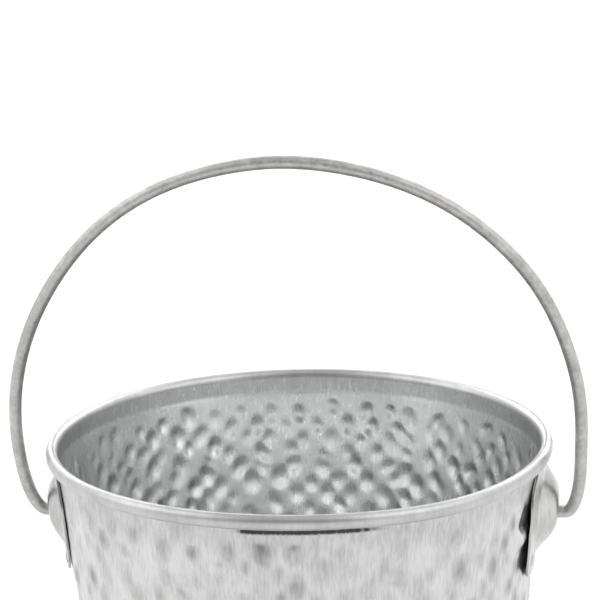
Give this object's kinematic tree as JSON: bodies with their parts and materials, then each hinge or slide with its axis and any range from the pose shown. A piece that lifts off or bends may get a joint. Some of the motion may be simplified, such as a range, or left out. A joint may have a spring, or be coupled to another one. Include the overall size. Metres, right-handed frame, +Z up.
{
  "type": "florist bucket",
  "caption": "Tapered round hammered galvanised steel pail with a rolled rim, recessed hemmed base, two riveted ears and a swinging wire bail, for holding cut flowers in water.",
  "frame": {"origin": "centre of the foot ring on the ground", "axes": "+Z up along the bucket's axis; X along the bail's pivot axis, +X to the right ear; the bail leans towards -Y at rest"},
  "size_m": [0.2316, 0.203, 0.3008],
  "materials": {
    "galvanised_sheet": "galvanised, hammered all over, fine vertical brushing",
    "ear_sheet": "galvanised, pressed",
    "bail_wire": "dull galvanised wire",
    "rim_wire": "plain drawn wire, hidden",
    "rivet": "galvanised",
    "seal": "sealing compound, hidden"
  },
  "bodies": {
    "bucket": {"bucket_wall": "galvanised_sheet", "base_pan": "galvanised_sheet", "base_seal": "seal", "rim_wire": "rim_wire", "ear_right": "ear_sheet", "ear_left": "ear_sheet", "ear_rivet_right_front": "rivet", "ear_rivet_right_back": "rivet", "ear_rivet_left_front": "rivet", "ear_rivet_left_back": "rivet"},
    "bail": {"bail_handle": "bail_wire"}
  },
  "joints": [
    {"name": "bail_swing", "type": "hinge", "parent": "bucket", "child": "bail", "pos_m": [0, 0, 0.1481], "axis": [1, 0, 0], "range_deg": [-159, 131]}
  ]
}
